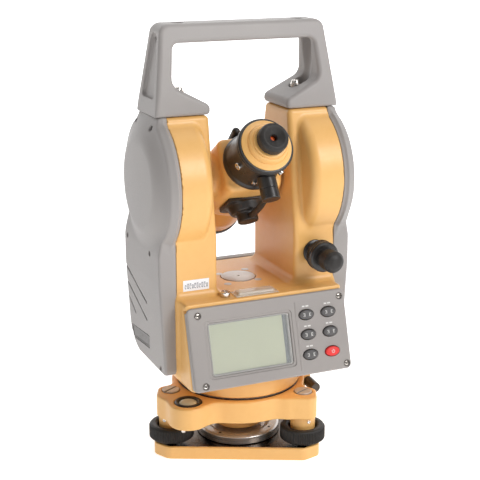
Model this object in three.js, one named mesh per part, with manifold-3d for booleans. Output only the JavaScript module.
// Electronic digital theodolite with a three-screw levelling base, in millimetres.
// Frame: +Z up along the vertical (azimuth) axis, origin on that axis at the underside of the base plate,
// +X along the trunnion axis towards the operator's right, operator standing at -Y.
import * as THREE from "three";
import { mergeVertices } from "three/addons/utils/BufferGeometryUtils.js";
import Module from "manifold-3d";

const wasm = await Module();
wasm.setup();

// ---------------------------------------------------------------- driving dimensions
const TRUNNION_Z = 220; // height of the telescope's tilting axis
const SEAM_X = 66; // joint plane between the cast frame and the side covers
const GAP_X = 33.8; // half the clear width between the standards
const FLOOR_Z = 137.5; // floor between the standards
const BULGE_R = 52.5; // radius of the standards' rounded flanks about the trunnion axis
const BULGE_IN_X = 40; // inner edge of the rounded flanks
const TOP_Z = 273.2; // top of the standards
const HANDLE_TOP_Z = 340;
const COVER_OUT_X = 80; // outer face of the side covers
const COVER_DISC_X = 84; // raised round boss of the side covers
const COVER_DISC_R = 40;
const FRONT_Y = -37; // flat front of the standards below the flanks
const REAR_Y = 42; // flat rear
const FLANGE_R = 50.3; // round foot of the alidade
const FLANGE_Z = 52.7;
const BASE_TURN = -25; // degrees between the levelling base and the alidade as stored
const SCREW_CIRCLE_R = 60.9; // foot screw circle
const KNOB_R = 18;
const TELESCOPE_TILT = 57.69; // degrees from vertical, eyepiece up and towards the operator
const PANEL_TILT = 73.63; // degrees, display plane
const GAP = 0.3; // clearance between neighbouring pieces
const ROUNDNESS = 0.62; // scales the number of sides of every turned shape

// ---------------------------------------------------------------- helpers
const V2 = (p) => p.map(([a, b]) => new THREE.Vector2(a, b));

// A closed three.js geometry as a solid.
function solid(geometry) {
  const g = geometry.clone();
  for (const k of Object.keys(g.attributes)) if (k !== "position") g.deleteAttribute(k);
  const m = mergeVertices(g, 1e-4);
  const p = m.attributes.position.array;
  const src = m.index.array;
  const tri = [];
  for (let i = 0; i < src.length; i += 3) {
    const [a, b, c] = [src[i], src[i + 1], src[i + 2]];
    if (a !== b && b !== c && a !== c) tri.push(a, b, c);
  }
  let vol = 0;
  for (let i = 0; i < tri.length; i += 3) {
    const [a, b, c] = [tri[i] * 3, tri[i + 1] * 3, tri[i + 2] * 3];
    vol +=
      p[a] * (p[b + 1] * p[c + 2] - p[b + 2] * p[c + 1]) -
      p[a + 1] * (p[b] * p[c + 2] - p[b + 2] * p[c]) +
      p[a + 2] * (p[b] * p[c + 1] - p[b + 1] * p[c]);
  }
  if (vol < 0) for (let i = 0; i < tri.length; i += 3) [tri[i + 1], tri[i + 2]] = [tri[i + 2], tri[i + 1]];
  return new wasm.Manifold(
    new wasm.Mesh({ numProp: 3, vertProperties: new Float32Array(p), triVerts: new Uint32Array(tri) }),
  );
}

// An outline extruded along an axis: for x the outline is (y, z), for y it is (x, z), for z it is (x, y).
function prismGeometry(axis, pts, lo, hi) {
  const g = new THREE.ExtrudeGeometry(new THREE.Shape(V2(pts)), { depth: hi - lo, bevelEnabled: false, steps: 1 });
  const m = new THREE.Matrix4();
  if (axis === "x") m.set(0, 0, 1, lo, 1, 0, 0, 0, 0, 1, 0, 0, 0, 0, 0, 1);
  else if (axis === "y") m.set(1, 0, 0, 0, 0, 0, -1, hi, 0, 1, 0, 0, 0, 0, 0, 1);
  else m.makeTranslation(0, 0, lo);
  return g.applyMatrix4(m);
}
const prism = (axis, pts, lo, hi) => solid(prismGeometry(axis, pts, lo, hi));
const box = (x0, x1, y0, y1, z0, z1) => prism("z", [[x0, y0], [x1, y0], [x1, y1], [x0, y1]], z0, z1);

// A profile of [radius, height] points turned about an axis through c.
function turned(axis, profile, seg = 32, c = [0, 0, 0]) {
  const g = new THREE.LatheGeometry(V2(profile), Math.max(10, Math.round(seg * ROUNDNESS)));
  const m = new THREE.Matrix4();
  if (axis === "z") m.set(1, 0, 0, c[0], 0, 0, -1, c[1], 0, 1, 0, c[2], 0, 0, 0, 1);
  else if (axis === "x") m.set(0, 1, 0, c[0], 0, 0, 1, c[1], 1, 0, 0, c[2], 0, 0, 0, 1);
  else m.makeTranslation(...c);
  return solid(g.applyMatrix4(m));
}
const rod = (axis, r, lo, hi, seg = 24, c = [0, 0, 0]) => turned(axis, [[0, lo], [r, lo], [r, hi], [0, hi]], seg, c);
const ring = (axis, ri, ro, lo, hi, seg = 32, c = [0, 0, 0]) =>
  turned(axis, [[ri, lo], [ro, lo], [ro, hi], [ri, hi], [ri, lo]], seg, c);
const join = (...s) => s.reduce((a, b) => a.add(b));
const cut = (a, ...s) => s.reduce((x, b) => x.subtract(b), a);

const arc = (cx, cy, r, a0, a1, n) =>
  Array.from({ length: n + 1 }, (_, i) => {
    const t = ((a0 + ((a1 - a0) * i) / n) * Math.PI) / 180;
    return [cx + r * Math.cos(t), cy + r * Math.sin(t)];
  });

function materialOf(color, roughness, metalness) {
  return new THREE.MeshStandardMaterial({ color, roughness, metalness, flatShading: true });
}
function add(group, name, s, color, roughness = 0.5, metalness = 0) {
  const m = s.getMesh();
  const g = new THREE.BufferGeometry();
  const n = m.numProp;
  const v = new Float32Array(m.numVert * 3);
  for (let i = 0; i < m.numVert; i++) v.set(m.vertProperties.subarray(i * n, i * n + 3), i * 3);
  g.setAttribute("position", new THREE.BufferAttribute(v, 3));
  g.setIndex(new THREE.BufferAttribute(new Uint32Array(m.triVerts), 1));
  g.computeVertexNormals();
  const mesh = new THREE.Mesh(g, materialOf(color, roughness, metalness));
  mesh.name = name;
  group.add(mesh);
  return mesh;
}

const YELLOW = 0xe9b063, GREY = 0x9a9691, BLACK = 0x2a2725, STEEL = 0xb9b6b2, BRASS = 0xb99a5a;
const GLASS = 0xd8e4e2, LCD = 0xc0c8a6, RED = 0xd9403a, DARK = 0x4a4846;

const root = new THREE.Group();
const base = new THREE.Group();
base.rotation.z = (BASE_TURN * Math.PI) / 180;
const alidade = new THREE.Group();
const panel = new THREE.Group();
panel.position.set(0, -54.7, 133.6);
panel.rotation.x = (PANEL_TILT * Math.PI) / 180;
const telescope = new THREE.Group();
telescope.position.set(0, 0, TRUNNION_Z);
telescope.rotation.x = (TELESCOPE_TILT * Math.PI) / 180;
root.add(base, alidade);
alidade.add(panel, telescope);

// ================================================================ levelling base
const C60 = Math.sqrt(3) / 2;
const SCREWS = {
  left: [-SCREW_CIRCLE_R * C60, -SCREW_CIRCLE_R / 2],
  right: [SCREW_CIRCLE_R * C60, -SCREW_CIRCLE_R / 2],
  rear: [0, SCREW_CIRCLE_R],
};

// Base plate: a shallow tray with chamfered front corners and a central 5/8 inch hole.
const plateOutline = (d) => [
  [-54.5 + d * 0.6, -50 + d], [54.5 - d * 0.6, -50 + d], [66 - d, -40.5 + d * 0.6], [66 - d, -24],
  [48 - d, 20], [17 - d * 0.6, 74.8 - d], [-17 + d * 0.6, 74.8 - d], [-48 + d, 20], [-66 + d, -24], [-66 + d, -40.5 + d * 0.6],
];
add(base, "base_plate",
  cut(prism("z", plateOutline(0), 0, 10.4), prism("z", plateOutline(2.2), 3.4, 12), rod("z", 7.94, -1, 12, 24)),
  YELLOW, 0.5, 0);
add(base, "spring_plate",
  cut(prism("z", plateOutline(2.6), 3.7, 4.9), rod("z", 9, 0, 20, 24)),
  DARK, 0.25, 0.8);
// Steel centre dish over the tripod screw's thread.
add(base, "center_dish",
  turned("z", [[7.94, 5.2], [34, 5.2], [34, 10.8], [32.4, 12.3], [24, 12.3], [21.5, 10.4], [7.94, 10.4], [7.94, 5.2]], 40),
  STEEL, 0.3, 1);

// Tribrach body: centre ring, three lobes with hanging bosses and a forward lobe for the circular level.
const LEVEL = [-37.4, -53.4];
{
  const outline = [
    [63.5, -27], [63.5, -38.5], [57, -44.8], [38, -45.5], [24, -51.5], [8, -54.5], [-8, -55.5], [-19, -58],
    ...arc(LEVEL[0], LEVEL[1], 15.5, -10, -150, 6),
    [-58, -50], [-63.5, -42], [-63.5, -27], [-54.5, -4], [-50, 22], [-37, 42], [-13, 68], [-9, 73], [9, 73], [13, 68], [37, 42], [50, 22], [54.5, -4],
  ];
  let t = prism("z", outline, 33, 51.2);
  t = join(t, prism("z", [...arc(LEVEL[0], LEVEL[1], 15, 0, -180, 7), [-52.4, -40], [-22.4, -40]], 29.5, 34),
    rod("z", 20, 12.9, 34, 28));
  for (const [x, y] of Object.values(SCREWS)) t = join(t, rod("z", 10, 20.2, 34, 20, [x, y, 0]));
  t = cut(t, rod("z", 49.2, 45, 60, 40), ring("z", 20, 45, 37.5, 46, 40), rod("z", 12.5, 10, 60, 28),
    rod("z", 19, 40, 60, 28));
  for (const [x, y] of Object.values(SCREWS))
    t = cut(t, rod("z", 4.3, 10, 60, 14, [x, y, 0]), rod("z", 7.4, 48.2, 60, 20, [x, y, 0]));
  t = cut(t, rod("z", 11, 44, 60, 24, [...LEVEL, 0]));
  // Lug for the clamping screw on the right flank.
  t = join(t, prism("z", [[50.7, 3.2], [60.2, 7], [58.7, 10.7], [50, 8.4]], 41, 50.4));
  add(base, "tribrach_body", t, YELLOW, 0.5, 0);
}
for (const [k, [x, y]] of Object.entries(SCREWS)) {
  // Knurled foot screw: rim, recessed top, and a spindle that ends on the spring plate.
  add(base, "foot_screw_" + k,
    turned("z", [
      [0, 5.2], [2.6, 5.2], [4, 6.6], [4, 11.4], [16.6, 11.4], [18, 12.4], [18, 22.6], [17, 23.6], [13.4, 23.6], [11.2, 22.6], [11.2, 18.4],
      [4, 18.4], [4, 47.8], [0, 47.8],
    ], 32, [x, y, 0]),
    BLACK, 0.5, 0);
  add(base, "foot_screw_cap_" + k,
    cut(rod("z", 7, 48.5, 52, 24, [x, y, 0]), box(x - 8, x + 8, y - 0.5, y + 0.5, 51.2, 53)),
    STEEL, 0.3, 1);
}
add(base, "circular_level_housing", cut(rod("z", 10.6, 44.3, 51.9, 28, [...LEVEL, 0]), rod("z", 7.4, 46.5, 60, 24, [...LEVEL, 0])), BLACK, 0.4, 0);
add(base, "circular_level_vial",
  turned("z", [[0, 46.8], [7.1, 46.8], [7.1, 51], [5, 51.9], [2.5, 52.2], [0, 52.3]], 24, [...LEVEL, 0]), GLASS, 0.1, 0);
// Clamping screw of the alidade's seat: a knurled head along the tribrach's right flank.
{
  const g = new THREE.Group();
  g.position.set(60.6, -2.7, 45.5);
  g.rotation.z = (21.4 * Math.PI) / 180;
  base.add(g);
  add(g, "tribrach_lock_knob", turned("y", [[0, -8.5], [3.6, -8.5], [4.2, -7.9], [4.2, 7.9], [3.6, 8.5], [0, 8.5]], 20), DARK, 0.35, 0.5);
}
// Glass horizontal circle on the base's inner sleeve.
add(base, "horizontal_circle",
  turned("z", [[13, 40.4], [18.6, 40.4], [18.6, 57.5], [42, 57.5], [42, 59.3], [13, 59.3], [13, 40.4]], 36), GLASS, 0.1, 0);

// ================================================================ alidade
// Front of the housing behind the display, as (y, z), with a lip over the bezel's top edge.
const frontFace = [[-51.3, FLOOR_Z], [-52.4, 136.5], [-52.6, 132.4], [-49.4, 132.4], [-66.7, 73.2]];
const housing = [
  ...frontFace, [-60, 71.5], [60, 71.5], [66.7, 73.2], [48.9, 134], [48.9, FLOOR_Z],
];
const flank = (r) => {
  const z0 = 267 - TRUNNION_Z;
  const a0 = (Math.atan2(z0, -Math.sqrt(r * r - z0 * z0)) * 180) / Math.PI;
  const zb = -Math.sqrt(r * r - FRONT_Y * FRONT_Y);
  const a1 = (Math.atan2(zb, FRONT_Y) * 180) / Math.PI + 360;
  const c0 = (Math.atan2(-Math.sqrt(r * r - REAR_Y * REAR_Y), REAR_Y) * 180) / Math.PI;
  const c1 = (Math.atan2(z0, Math.sqrt(r * r - z0 * z0)) * 180) / Math.PI;
  return { front: arc(0, TRUNNION_Z, r, a0, a1, 8), rear: arc(0, TRUNNION_Z, r, c0, c1, 8) };
};
const F = flank(BULGE_R);
const LEVEL_SCREW = [-29.6, -44.1];
const standardInner = [[-23, TOP_Z], [-23, 267], [FRONT_Y, 182.6], [FRONT_Y, 100], [REAR_Y, 100], [REAR_Y, 188.5], [23, 267], [23, TOP_Z]];
const standardOuter = [[-23, TOP_Z], ...F.front, [FRONT_Y, 100], [REAR_Y, 100], ...F.rear, [23, TOP_Z]];
{
  let s = prism("x", housing, -65.4, 65.4);
  s = join(s, rod("z", FLANGE_R, FLANGE_Z, 74, 44));
  for (const k of [-1, 1]) {
    const [a, b] = k < 0 ? [-SEAM_X, -GAP_X] : [GAP_X, SEAM_X];
    const [c, d] = k < 0 ? [-SEAM_X, -BULGE_IN_X] : [BULGE_IN_X, SEAM_X];
    s = join(s, prism("x", standardInner, a, b), prism("x", standardOuter, c, d));
    s = join(s, prism("x", [[FRONT_Y, 76], [REAR_Y, 76], [REAR_Y, 120], [FRONT_Y, 120]], k < 0 ? -SEAM_X : 60, k < 0 ? -60 : SEAM_X));
  }
  // The casting is hollow: a pocket in each standard opens to the side cover's joint plane, around a bearing boss,
  // and meets the housing's cavity under the floor; a third pocket opens to the rear.
  const inside = [[-20, 268], [-33.5, 182], [-33.5, 80], [38.5, 80], [38.5, 182], [20, 268]];
  for (const k of [-1, 1]) {
    let hollow = prism("x", inside, k < 0 ? -70 : GAP_X + 3.8, k < 0 ? -GAP_X - 3.8 : 70);
    hollow = cut(hollow, rod("x", 20, k < 0 ? -58.5 : 30, k < 0 ? -30 : 58.5, 24, [0, 0, TRUNNION_Z]), rod("y", 8, -60, -24, 16, [k * 49, 0, 162.5]));
    s = cut(s, hollow);
  }
  s = cut(s, box(-45, 45, -28, 38.5, 80, 134), prism("x", [[42.5, 133], [60, 133], [76, 80], [42.5, 80]], -56, 56));
  // Recess in the foot for the circle and its seat, spindle bore, bores and pockets of the trunnion.
  s = cut(s, rod("z", 44.5, 50, 63, 40), rod("z", 12, 50, 90, 28), rod("x", 9.4, -70, 70, 28, [0, 0, TRUNNION_Z]),
    rod("x", 38.5, -70, -58.5, 36, [0, 0, TRUNNION_Z]), rod("x", 22, 58.5, 70, 28, [0, 0, TRUNNION_Z]));
  // Pocket behind the display, open to the front.
  const pocket = prismGeometry("z", [[-56, -55], [56, -55], [56, -8.5], [-56, -8.5]], -19, 2);
  panel.updateMatrix();
  s = cut(s, solid(pocket.applyMatrix4(panel.matrix)));
  // Floor: recess of the centre disc and of the plate level.
  s = cut(s, rod("z", 14, 136, 150, 32), box(-20.2, 9.8, -48.6, -39.6, 129.1, 150), rod("z", 2.6, 132, 150, 14, [LEVEL_SCREW[0], LEVEL_SCREW[1], 0]));
  // Socket of the vertical motion knobs.
  s = cut(s, rod("y", 3.4, -60, -27, 14, [49, 0, 162.5]));
  // Socket of the horizontal motion knobs, low on the right flank.
  s = cut(s, rod("x", 3.4, 40, 60, 14, [0, 12, 62]));
  add(alidade, "alidade_frame", s, YELLOW, 0.5, 0);
}
add(alidade, "bearing_ring", ring("z", 20.5, 47.8, 50.2, 52.4, 40), STEEL, 0.3, 1);
add(alidade, "vertical_spindle", turned("z", [[0, 24], [11.6, 24], [11.6, 86], [0, 86]], 28), STEEL, 0.3, 1);
add(alidade, "floor_center_disc", turned("z", [[0, 136.3], [13.7, 136.3], [13.7, 137.9], [1.2, 137.9], [0.6, 137.3], [0, 137.3]], 32), STEEL, 0.3, 1);
add(alidade, "plate_level_tube", turned("x", [[0, -14], [3.4, -14], [4.2, -12], [4.2, 12], [3.4, 14], [0, 14]], 20, [-5.2, -44.1, 133.5]), GLASS, 0.1, 0);
add(alidade, "plate_level_cover",
  cut(join(box(-22.9, 12.5, -50.6, -37.6, 137.8, 138.8), box(-20.6, 10.2, -48.8, -39.4, 138.6, 140.6)), box(-18.8, 8.4, -47.6, -40.6, 137, 139.8)),
  GLASS, 0.1, 0);
add(alidade, "plate_level_adjust_screw", join(rod("z", 3.8, 137.8, 142, 20, [...LEVEL_SCREW, 0]), rod("z", 2.3, 132.3, 138, 14, [...LEVEL_SCREW, 0])), STEEL, 0.25, 1);

// Side covers: shells with a raised disc about the trunnion axis, tapering towards the bottom.
function cover(k) {
  const z0 = 267 - TRUNNION_Z;
  const outline = [
    [-23, TOP_Z], ...F.front, [FRONT_Y, 82], [-31, 76], [20, 76],
    ...arc(20, 98, 22, -90, 0, 5).slice(1), [REAR_Y, 100], ...F.rear, [23, TOP_Z],
  ];
  let s = prism("x", outline, SEAM_X + GAP, COVER_OUT_X);
  // Outer face: full width at z = 162, thinner at the bottom and at the top.
  s = s.intersect(prism("y", [[60, 70], [76.2, 70], [COVER_OUT_X, 150], [COVER_OUT_X, 175], [75.4, 190], [75.4, 262], [73.4, 275], [60, 275]], -60, 60));
  // Side edges chamfered.
  s = s.intersect(prism("z", [[60, -70], [72.5, -70], [72.5, -52.5], [COVER_OUT_X + 1, -33], [COVER_OUT_X + 1, 37], [74, 52.5], [60, 60]], 60, 280));
  s = join(s, turned("x", [[0, 70], [COVER_DISC_R + 4, 70], [COVER_DISC_R + 4, 75.6], [COVER_DISC_R, 80.5], [34, 83], [24, COVER_DISC_X], [0, COVER_DISC_X]], 36, [0, 0, TRUNNION_Z]));
  s = cut(s, turned("x", [[0, 60], [37, 60], [37, 73], [30, 80], [0, 80]], 28, [0, 0, TRUNNION_Z]));
  s = cut(s, prism("x", [[FRONT_Y + 4, 84], [16, 84], [REAR_Y - 4, 104], [REAR_Y - 4, 176], [FRONT_Y + 4, 176]], 60, 70));
  return k > 0 ? s : s.mirror([1, 0, 0]);
}
add(alidade, "left_side_cover", cover(-1), GREY, 0.6, 0);
const BATTERY = { y0: -24, y1: 32, z0: 92, z1: 166 };
add(alidade, "right_side_cover",
  cut(cover(1), box(70.2, 90, BATTERY.y0 - 0.4, BATTERY.y1 + 0.4, BATTERY.z0 - 0.4, BATTERY.z1 + 0.4), box(60, 71, -12, 20, 104, 156)),
  GREY, 0.6, 0);
add(alidade, "battery_case",
  prism("y", [[70.6, BATTERY.z0], [79.2, BATTERY.z0], [81, BATTERY.z0 + 4], [82, BATTERY.z1 - 8], [80.5, BATTERY.z1], [70.6, BATTERY.z1]], BATTERY.y0, BATTERY.y1),
  GREY, 0.6, 0);
add(alidade, "rear_cover",
  prism("x", [[49.2, 137.3], [57.6, 137.3], [59.4, 135.8], [72, 77], [68, 73.6], [49.25, 134.1]], -65.4, 65.4),
  GREY, 0.6, 0);

// ---------------------------------------------------------------- display panel, in its own plane: x across, y up the slope, z out of the face
{
  const bezelSection = [[-54.7, 133.6], [-72, 74.7], [-67.1, 73.2], [-49.8, 132.1], [-52.95, 132.1], [-52.95, 135.3], [-54, 135.1]];
  const m = new THREE.Matrix4();
  panel.updateMatrix();
  m.copy(panel.matrix).invert();
  let b = solid(prismGeometry("x", bezelSection, -65.4, 66.6).applyMatrix4(m));
  b = cut(b, prism("z", [[-51.5, -52.5], [19.5, -52.5], [19.5, -9.8], [-51.5, -9.8]], -1.6, 12));
  b = cut(b, prism("z", [[-46, -48.6], [14.6, -48.6], [14.6, -13.6], [-46, -13.6]], -12, 12));
  const KEYS = [[32, -15], [50.9, -15], [32, -30.4], [50.9, -30.4], [32, -46], [50.9, -46]];
  const oval = (cx, cy, a, c, n = 12) => Array.from({ length: n }, (_, i) => [cx + a * Math.cos((2 * Math.PI * i) / n), cy + c * Math.sin((2 * Math.PI * i) / n)]);
  for (const [x, y] of KEYS) b = cut(b, prism("z", oval(x, y, 6.35, 4.1), -12, 12));
  const SCREW = [[-56.8, -4.4], [62.0, -4.2], [-56.4, -57.4], [62.6, -57.2]];
  for (const [x, y] of SCREW) b = cut(b, rod("z", 2.75, -1.8, 12, 14, [x, y, 0]), rod("z", 1.6, -12, 12, 10, [x, y, 0]));
  add(panel, "display_bezel", b, GREY, 0.6, 0);
  KEYS.forEach(([x, y], i) =>
    add(panel, i === 5 ? "key_power" : "key_" + (i + 1),
      join(prism("z", oval(x, y, 6, 3.75), -4.2, 1.2), prism("z", oval(x, y, 5.2, 3.1), 1, 1.9)),
      i === 5 ? RED : DARK, 0.6, 0));
  SCREW.forEach(([x, y], i) =>
    add(panel, "bezel_screw_" + (i + 1), join(rod("z", 2.45, -1.5, -0.1, 14, [x, y, 0]), rod("z", 1.3, -4.7, -1.2, 10, [x, y, 0])), BRASS, 0.35, 1));
  add(panel, "lcd_window", prism("z", [[-51.1, -52.1], [19.1, -52.1], [19.1, -10.2], [-51.1, -10.2]], -1.3, -0.3), GLASS, 0.05, 0);
  add(panel, "lcd_module", prism("z", [[-50, -54], [22, -54], [22, -9.5], [-50, -9.5]], -9, -5.6), LCD, 0.4, 0);
}

// ---------------------------------------------------------------- carrying handle
{
  const half = [
    [75.1, 273.5], [66.8, 336.5], [63.5, 340],
  ];
  const open = [[33.6, 273.5], [33.6, 278.8], [36.2, 282], [60, 294.7], [62, 299.5], [62, 304], [59.8, 324.5], [55.8, 328.4]];
  const right = [...half];
  const outline = [
    ...right, ...right.slice().reverse().map(([x, z]) => [-x, z]),
    ...open.map(([x, z]) => [-x, z]), ...open.slice().reverse(),
  ];
  let h = prism("y", outline, -23, 23);
  h = h.intersect(prism("x", [[-23, 273.5], [23, 273.5], [23, 279], [12, 336], [9, 340], [-9, 340], [-12, 336], [-23, 279]], -80, 80));
  for (const k of [-1, 1]) {
    // Pocket and clearance hole of the captive screw that fixes each foot.
    h = cut(h, rod("z", 4.6, 285, 330, 18, [k * 49, 0, 0]), rod("z", 2.4, 270, 290, 12, [k * 49, 0, 0]));
  }
  add(alidade, "carry_handle", h, GREY, 0.6, 0);
  for (const [n, k] of [["left", -1], ["right", 1]])
    add(alidade, "handle_screw_" + n,
      join(rod("z", 4.2, 285.4, 292.5, 18, [k * 49, 0, 0]), rod("z", 2.1, 273.6, 286, 12, [k * 49, 0, 0])), STEEL, 0.25, 1);
}

// ---------------------------------------------------------------- motion knobs
add(alidade, "vertical_clamp_ring",
  turned("y", [[3.2, -56.2], [10.8, -56.2], [12, -55.2], [12, -47.4], [10.6, -46.2], [7.5, -46.2], [7.5, -37.4], [3.2, -37.4], [3.2, -56.2]], 28, [49, 0, 162.5]), BLACK, 0.45, 0);
add(alidade, "vertical_tangent_knob",
  turned("y", [[0, -75], [3.5, -74.6], [6.6, -73], [8.6, -70], [8.6, -62], [7.2, -61], [7.2, -56.5], [2.9, -56.5], [2.9, -28], [0, -28]], 28, [49, 0, 162.5]), BLACK, 0.45, 0);
add(alidade, "horizontal_clamp_ring",
  turned("x", [[3.2, 51], [6.6, 51], [6.6, 57.4], [8.4, 58.4], [8.4, 66.6], [7.6, 67.4], [3.2, 67.4], [3.2, 51]], 28, [0, 12, 62]), BLACK, 0.45, 0);
add(alidade, "horizontal_tangent_knob",
  turned("x", [[0, 41], [2.9, 41], [2.9, 67.7], [6.2, 67.7], [6.2, 71.4], [7.4, 72.2], [7.4, 79.6], [5.6, 82.6], [3, 83.7], [0, 84]], 28, [0, 12, 62]), BLACK, 0.45, 0);

// ---------------------------------------------------------------- telescope: local z towards the eyepiece, y up, x along the trunnion axis
{
  let b = join(
    rod("x", 17.5, -30, 30, 28),
    prism("z", [[-20, -21.5], [20, -21.5], [23, -17], [23, 17], [20, 21.5], [-20, 21.5], [-23, 17], [-23, -17]], -26, 27.8),
    turned("z", [[0, -65.8], [25, -65.8], [25, -52], [21.5, -24], [0, -24]], 36),
  );
  b = cut(b, rod("z", 16, -70, 40, 28), rod("x", 8.3, -40, 40, 24));
  b = join(b, cut(ring("x", 8.3, 12, -30, 30, 24), box(-14, 14, -20, 20, -20, 20)));
  add(telescope, "telescope_body", b, YELLOW, 0.5, 0);
  add(telescope, "trunnion_axle_left", turned("x", [[5, -64.2], [8, -64.2], [8, -14.5], [5, -14.5], [5, -64.2]], 24), STEEL, 0.3, 1);
  add(telescope, "trunnion_axle_right", turned("x", [[5, 14.5], [8, 14.5], [8, 62], [5, 62], [5, 14.5]], 24), STEEL, 0.3, 1);
  add(telescope, "vertical_circle", ring("x", 8.3, 35, -62.4, -60.8, 36), GLASS, 0.1, 0);
  add(telescope, "objective_ring",
    turned("z", [[22, -66.1], [26, -66.1], [26, -69], [25.6, -72.5], [22.6, -72.5], [22, -66.1]], 36), BLACK, 0.4, 0);
  add(telescope, "objective_lens", turned("z", [[0, -71], [12, -70.4], [21.6, -69], [21.6, -66.4], [0, -66.4]], 32), GLASS, 0.05, 0);
  add(telescope, "beam_splitter_housing", turned("z", [[16, 28.1], [21, 28.1], [21, 57.2], [16, 57.2], [16, 28.1]], 32), BLACK, 0.4, 0);
  add(telescope, "focus_ring", turned("z", [[14, 57.5], [21.8, 57.5], [21.8, 61.7], [20.8, 62], [14, 62], [14, 57.5]], 32), BLACK, 0.4, 0);
  add(telescope, "eyepiece_end_cap", turned("z", [[8, 62.3], [19.4, 62.3], [19.4, 65], [18.2, 66.3], [13.6, 66.3], [13.2, 68.4], [8, 68.4], [8, 62.3]], 32), YELLOW, 0.5, 0);
  add(telescope, "eyepiece_cup", turned("z", [[3.6, 68.7], [11.4, 68.7], [11.8, 69.6], [11.8, 75.6], [10.6, 77.6], [8, 78], [3.4, 74.6], [2.2, 73.8], [2.2, 72], [3.6, 71.6], [3.6, 68.7]], 28), BLACK, 0.5, 0);
  add(telescope, "eyepiece_lens", turned("z", [[0, 68.9], [3.3, 68.9], [3.3, 70.4], [0, 71.2]], 18), GLASS, 0.05, 0);
  // Optical sights above and below, the laser module and the arm that carries its cable to the lower boss.
  add(telescope, "top_sight", join(box(-6, 6, 21.8, 24, -8, 24), turned("z", [[0, -6], [3.4, -6], [3.4, 22], [0, 22]], 16, [0, 26.6, 0])), BLACK, 0.5, 0);
  add(telescope, "lower_sight",
    join(prism("y", [[-14, -16], [14, -16], [14, 12], [-14, 12]], -25, -21.8),
      turned("y", [[0, -38.5], [7, -38.5], [8, -37.5], [8, -32.5], [11.5, -31], [13, -24.5], [0, -24.5]], 24)), BLACK, 0.5, 0);
  add(telescope, "laser_module",
    cut(turned("y", [[0, -38], [6.2, -38], [7, -37], [7, -16.5], [0, -16.5]], 24, [0, 0, 49.5]), rod("z", 21.4, 20, 70, 32)), BLACK, 0.4, 0);
  {
    let arm = prism("x", [[-37.6, 9], [-34.2, 9], [-30.4, 41], [-33.6, 42.2]], -3, 3);
    arm = cut(arm, turned("y", [[0, -45], [7.3, -45], [7.3, -10], [0, -10]], 24, [0, 0, 49.5]), rod("y", 8.4, -45, -20, 24));
    add(telescope, "laser_cable_arm", arm, BLACK, 0.5, 0);
  }
}

export default root;
